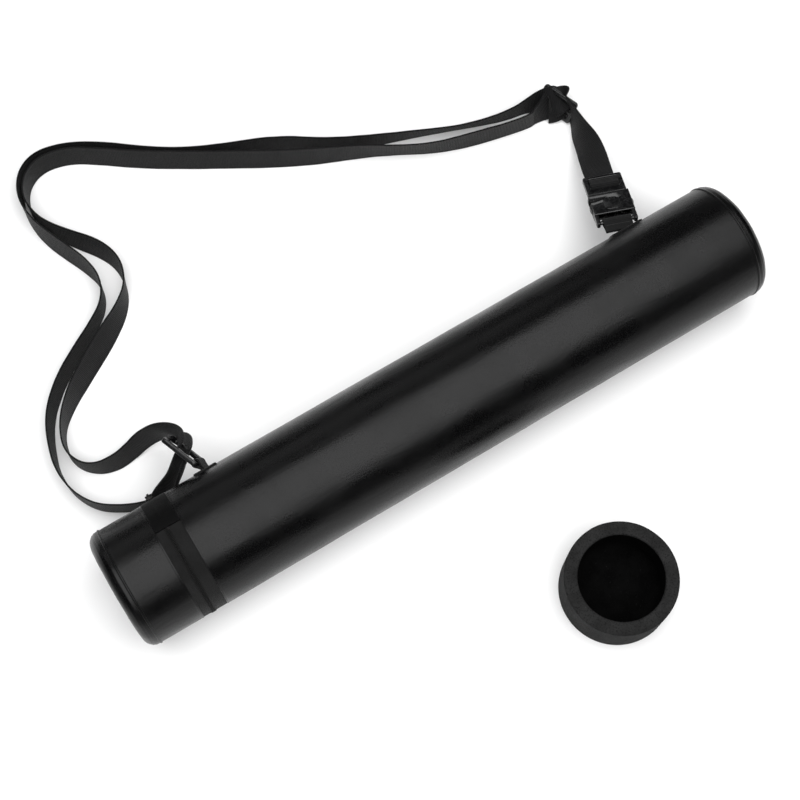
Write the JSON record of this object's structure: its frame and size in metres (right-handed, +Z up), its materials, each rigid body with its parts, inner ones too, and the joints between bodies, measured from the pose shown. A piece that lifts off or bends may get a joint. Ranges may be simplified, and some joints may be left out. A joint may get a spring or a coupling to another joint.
{
  "type": "telescope carry case",
  "caption": "Round leatherette carry case with a zipped hinged cap, a webbing shoulder strap with buckle and ring, and a loose foam cup.",
  "frame": {"origin": "on the floor, under the middle of the box of the case and its cup, without the strap", "axes": "+X along the case from the cap to the base, +Y towards the strap, +Z up"},
  "size_m": [0.7, 0.7499, 0.1216],
  "materials": {
    "leatherette": "satin, fine embossed grain",
    "board": "wound card",
    "lining": "thin matte cloth",
    "foam": "closed-cell foam, matte",
    "webbing": "ribbed nylon, matte",
    "zip_tape": "woven tape, matte",
    "zip_coil": "nylon coil",
    "zip_metal": "black enamel",
    "hardware": "moulded, glossy"
  },
  "bodies": {
    "root": {"body_core": "board", "body_skin": "leatherette", "body_lining": "lining", "base_board": "board", "base_foam": "foam", "base_panel": "leatherette", "base_piping": "leatherette", "zip_tape_body": "zip_tape", "zip_coil_body": "zip_coil", "zip_stop": "zip_metal", "hinge_patch_body": "leatherette", "ring_patch": "webbing", "ring_tab": "webbing", "buckle_patch": "webbing", "buckle_tab": "webbing", "buckle_socket": "hardware", "buckle_plug": "hardware", "tri_glide": "hardware", "strap_outer": "webbing", "strap_inner": "webbing", "strap_ring_pass": "webbing", "strap_lead": "webbing", "strap_hem": "webbing"},
    "cap": {"cap_core": "board", "cap_skin": "leatherette", "cap_lining": "lining", "cap_board": "board", "cap_foam": "foam", "cap_panel": "leatherette", "cap_piping": "leatherette", "zip_tape_cap": "zip_tape", "zip_coil_cap": "zip_coil", "hinge_patch_cap": "leatherette"},
    "slider": {"zip_slider": "zip_metal"},
    "pull": {"zip_pull": "zip_metal"},
    "ring": {"strap_ring": "hardware"},
    "arm_left": {"buckle_arm_left": "hardware"},
    "arm_right": {"buckle_arm_right": "hardware"},
    "cup": {"foam_cup": "foam"}
  },
  "joints": [
    {"name": "cap_hinge", "type": "hinge", "parent": "root", "child": "cap", "pos_m": [-0.2805, 0.12846, 0.10541], "axis": [0, 0.7314, -0.682], "range_deg": [0, 110]},
    {"name": "zip_run", "type": "hinge", "parent": "root", "child": "slider", "pos_m": [-0.2805, 0.08686, 0.0608], "axis": [-1, 0, 0], "range_deg": [0, 283]},
    {"name": "pull_flip", "type": "hinge", "parent": "slider", "child": "pull", "pos_m": [-0.2805, 0.152, 0.06938], "axis": [1, 0, 0], "range_deg": [0, 165]},
    {"name": "ring_swing", "type": "hinge", "parent": "root", "child": "ring", "pos_m": [-0.224, 0.15386, 0.076], "axis": [-0.3953, -0.1494, 0.9063], "range_deg": [-6, 12]},
    {"name": "arm_left_press", "type": "slide", "parent": "root", "child": "arm_left", "axis": [0.9397, -0.342, 0], "range_m": [0, 0.0025], "stiffness_N_per_m": 600},
    {"name": "arm_right_press", "type": "slide", "parent": "root", "child": "arm_right", "axis": [-0.9397, 0.342, 0], "range_m": [0, 0.0025], "stiffness_N_per_m": 600},
    {"name": "cup_lift", "type": "slide", "parent": "root", "child": "cup", "axis": [0, 0, 1], "range_m": [0, 0.15]}
  ]
}
